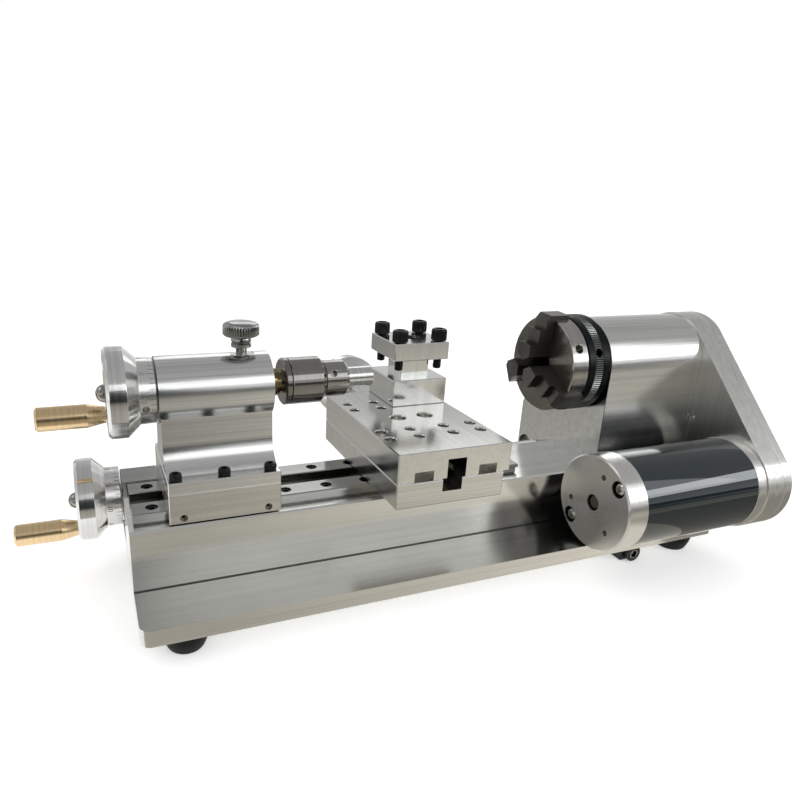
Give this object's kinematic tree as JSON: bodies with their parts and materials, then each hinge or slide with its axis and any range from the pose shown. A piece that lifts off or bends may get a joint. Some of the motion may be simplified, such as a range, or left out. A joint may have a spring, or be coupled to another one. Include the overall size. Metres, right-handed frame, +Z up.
{
  "type": "mini lathe",
  "caption": "Small bench lathe: bed on a base plate, headstock with jaw chuck and side motor, saddle with cross-slide and square tool post, tailstock with drill chuck and crank handwheels.",
  "frame": {"origin": "underside of the base plate, below the spindle axis, midway along the plate", "axes": "+X along the bed from the tailstock to the headstock, +Y away from the motor side, +Z up"},
  "size_m": [0.4789, 0.2601, 0.1644],
  "materials": {
    "plate_aluminium": "milled, fine straight grain",
    "way_steel": "ground",
    "slide_aluminium": "milled and polished",
    "tail_aluminium": "brushed",
    "head_aluminium": "brushed",
    "wheel_aluminium": "turned",
    "motor_aluminium": "turned, satin",
    "motor_paint": "glossy slate blue",
    "brass": "turned, satin",
    "black_screws": "black oxide",
    "bright_steel": "ground",
    "zinc_steel": "bright zinc",
    "chuck_steel": "turned, warm grey",
    "jaw_steel": "dark hardened steel",
    "black_steel": "black oxide",
    "rubber": "matt black",
    "black_plastic": "moulded"
  },
  "bodies": {
    "frame": {"base_plate": "plate_aluminium", "feet": "rubber", "power_inlet": "black_plastic", "bed": "plate_aluminium", "way_near": "way_steel", "way_far": "way_steel", "way_screws": "black_screws", "base_bolts": "black_screws", "leadscrew_bracket": "plate_aluminium", "headstock": "head_aluminium", "bearings": "bright_steel", "motor_plate": "head_aluminium", "belt_ring": "head_aluminium", "belt_cover": "head_aluminium", "belt": "rubber", "motor_cap": "motor_aluminium", "motor_tube": "motor_paint", "motor_flange": "motor_aluminium", "motor_screws": "bright_steel"},
    "lead_feed": {"leadscrew": "bright_steel", "lead_dial": "wheel_aluminium", "lead_wheel": "wheel_aluminium"},
    "lead_grip": {"lead_handle": "brass"},
    "saddle_unit": {"saddle": "slide_aluminium", "feed_nut": "brass", "cross_nut": "brass"},
    "cross_unit": {"cross_slide": "slide_aluminium", "cross_bracket": "slide_aluminium", "tool_post": "slide_aluminium", "post_bolt": "black_screws"},
    "cross_feed": {"cross_screw": "bright_steel", "cross_dial": "wheel_aluminium", "cross_wheel": "wheel_aluminium"},
    "cross_grip": {"cross_handle": "brass"},
    "clamp_1": {"clamp_bolt_1": "black_screws"},
    "clamp_2": {"clamp_bolt_2": "black_screws"},
    "clamp_3": {"clamp_bolt_3": "black_screws"},
    "clamp_4": {"clamp_bolt_4": "black_screws"},
    "tailstock": {"tail_base": "tail_aluminium", "tail_clamp": "bright_steel", "tail_body": "tail_aluminium", "tail_screws": "black_screws", "tail_set_screws": "black_screws"},
    "tail_feed": {"quill_screw": "bright_steel", "tail_dial": "wheel_aluminium", "tail_wheel": "wheel_aluminium"},
    "tail_grip": {"tail_handle": "brass"},
    "quill_unit": {"quill": "brass", "drill_chuck": "black_steel", "test_bar": "bright_steel"},
    "sleeve": {"drill_sleeve": "black_steel"},
    "thumb": {"thumb_screw": "zinc_steel"},
    "spindle_unit": {"spindle": "bright_steel", "chuck_body": "chuck_steel", "chuck_screws": "black_screws"},
    "scroll": {"scroll_ring": "black_steel"},
    "jaw_a": {"jaw_1": "jaw_steel"},
    "jaw_b": {"jaw_2": "jaw_steel"},
    "jaw_c": {"jaw_3": "jaw_steel"},
    "motor_rotor": {"motor_shaft": "bright_steel"}
  },
  "joints": [
    {"name": "leadscrew_turn", "type": "hinge", "parent": "frame", "child": "lead_feed", "pos_m": [-0.1986, 0.037, 0.038], "axis": [1, 0, 0], "range_deg": [-4861, 7561]},
    {"name": "saddle_travel", "type": "slide", "parent": "frame", "child": "saddle_unit", "axis": [1, 0, 0], "range_m": [-0.027, 0.042]},
    {"name": "lead_handle_spin", "type": "hinge", "parent": "lead_feed", "child": "lead_grip", "pos_m": [-0.2386, 0.03635, 0.01951], "axis": [1, 0, 0], "continuous": true},
    {"name": "cross_travel", "type": "slide", "parent": "saddle_unit", "child": "cross_unit", "axis": [0, 1, 0], "range_m": [-0.01, 0.03]},
    {"name": "cross_screw_turn", "type": "hinge", "parent": "cross_unit", "child": "cross_feed", "pos_m": [-0.0169, 0.0964, 0.0737], "axis": [0, 1, 0], "range_deg": [-1801, 5401]},
    {"name": "cross_handle_spin", "type": "hinge", "parent": "cross_feed", "child": "cross_grip", "pos_m": [-0.00273, 0.1364, 0.06181], "axis": [0, 1, 0], "continuous": true},
    {"name": "clamp_screw_1", "type": "slide", "parent": "cross_unit", "child": "clamp_1", "axis": [0, 0, 1], "range_m": [-0.0003, 0.005]},
    {"name": "clamp_screw_2", "type": "slide", "parent": "cross_unit", "child": "clamp_2", "axis": [0, 0, 1], "range_m": [-0.0003, 0.005]},
    {"name": "clamp_screw_3", "type": "slide", "parent": "cross_unit", "child": "clamp_3", "axis": [0, 0, 1], "range_m": [-0.0003, 0.005]},
    {"name": "clamp_screw_4", "type": "slide", "parent": "cross_unit", "child": "clamp_4", "axis": [0, 0, 1], "range_m": [-0.0003, 0.005]},
    {"name": "tailstock_travel", "type": "slide", "parent": "frame", "child": "tailstock", "axis": [1, 0, 0], "range_m": [-0.02, 0.008]},
    {"name": "quill_wheel_turn", "type": "hinge", "parent": "tailstock", "child": "tail_feed", "pos_m": [-0.1779, 0, 0.1156], "axis": [1, 0, 0], "range_deg": [-361, 3241]},
    {"name": "tail_handle_spin", "type": "hinge", "parent": "tail_feed", "child": "tail_grip", "pos_m": [-0.2179, 0.01035, 0.10026], "axis": [1, 0, 0], "continuous": true},
    {"name": "quill_travel", "type": "slide", "parent": "tailstock", "child": "quill_unit", "axis": [1, 0, 0], "range_m": [-0.002, 0.018]},
    {"name": "sleeve_turn", "type": "hinge", "parent": "quill_unit", "child": "sleeve", "pos_m": [-0.0881, 0, 0.1156], "axis": [1, 0, 0], "range_deg": [-90, 270]},
    {"name": "thumb_screw_turn", "type": "hinge", "parent": "tailstock", "child": "thumb", "pos_m": [-0.129, 0, 0.1406], "axis": [0, 0, 1], "range_deg": [-360, 0]},
    {"name": "spindle_turn", "type": "hinge", "parent": "frame", "child": "spindle_unit", "pos_m": [0.1142, 0, 0.1156], "axis": [1, 0, 0], "continuous": true},
    {"name": "motor_turn", "type": "hinge", "parent": "frame", "child": "motor_rotor", "pos_m": [0.1142, -0.0701, 0.0423], "axis": [1, 0, 0], "continuous": true},
    {"name": "scroll_turn", "type": "hinge", "parent": "spindle_unit", "child": "scroll", "pos_m": [0.102, 0, 0.1156], "axis": [1, 0, 0], "range_deg": [-240, 720]},
    {"name": "jaw_a_travel", "type": "slide", "parent": "spindle_unit", "child": "jaw_a", "axis": [0, -0.0698, 0.9976], "range_m": [-0.002, 0.006]},
    {"name": "jaw_b_travel", "type": "slide", "parent": "spindle_unit", "child": "jaw_b", "axis": [0, -0.829, -0.5592], "range_m": [-0.002, 0.006]},
    {"name": "jaw_c_travel", "type": "slide", "parent": "spindle_unit", "child": "jaw_c", "axis": [0, 0.8988, -0.4384], "range_m": [-0.002, 0.006]}
  ],
  "couplings": [
    {"joint": "leadscrew_turn", "follows": "saddle_travel", "rad_per_m": 3141.6},
    {"joint": "cross_screw_turn", "follows": "cross_travel", "rad_per_m": 3141.6},
    {"joint": "quill_wheel_turn", "follows": "quill_travel", "rad_per_m": 3141.6},
    {"joint": "motor_turn", "follows": "spindle_turn", "ratio": 1.5},
    {"joint": "jaw_a_travel", "follows": "scroll_turn", "m_per_rad": 0.00047746},
    {"joint": "jaw_b_travel", "follows": "scroll_turn", "m_per_rad": 0.00047746},
    {"joint": "jaw_c_travel", "follows": "scroll_turn", "m_per_rad": 0.00047746}
  ]
}
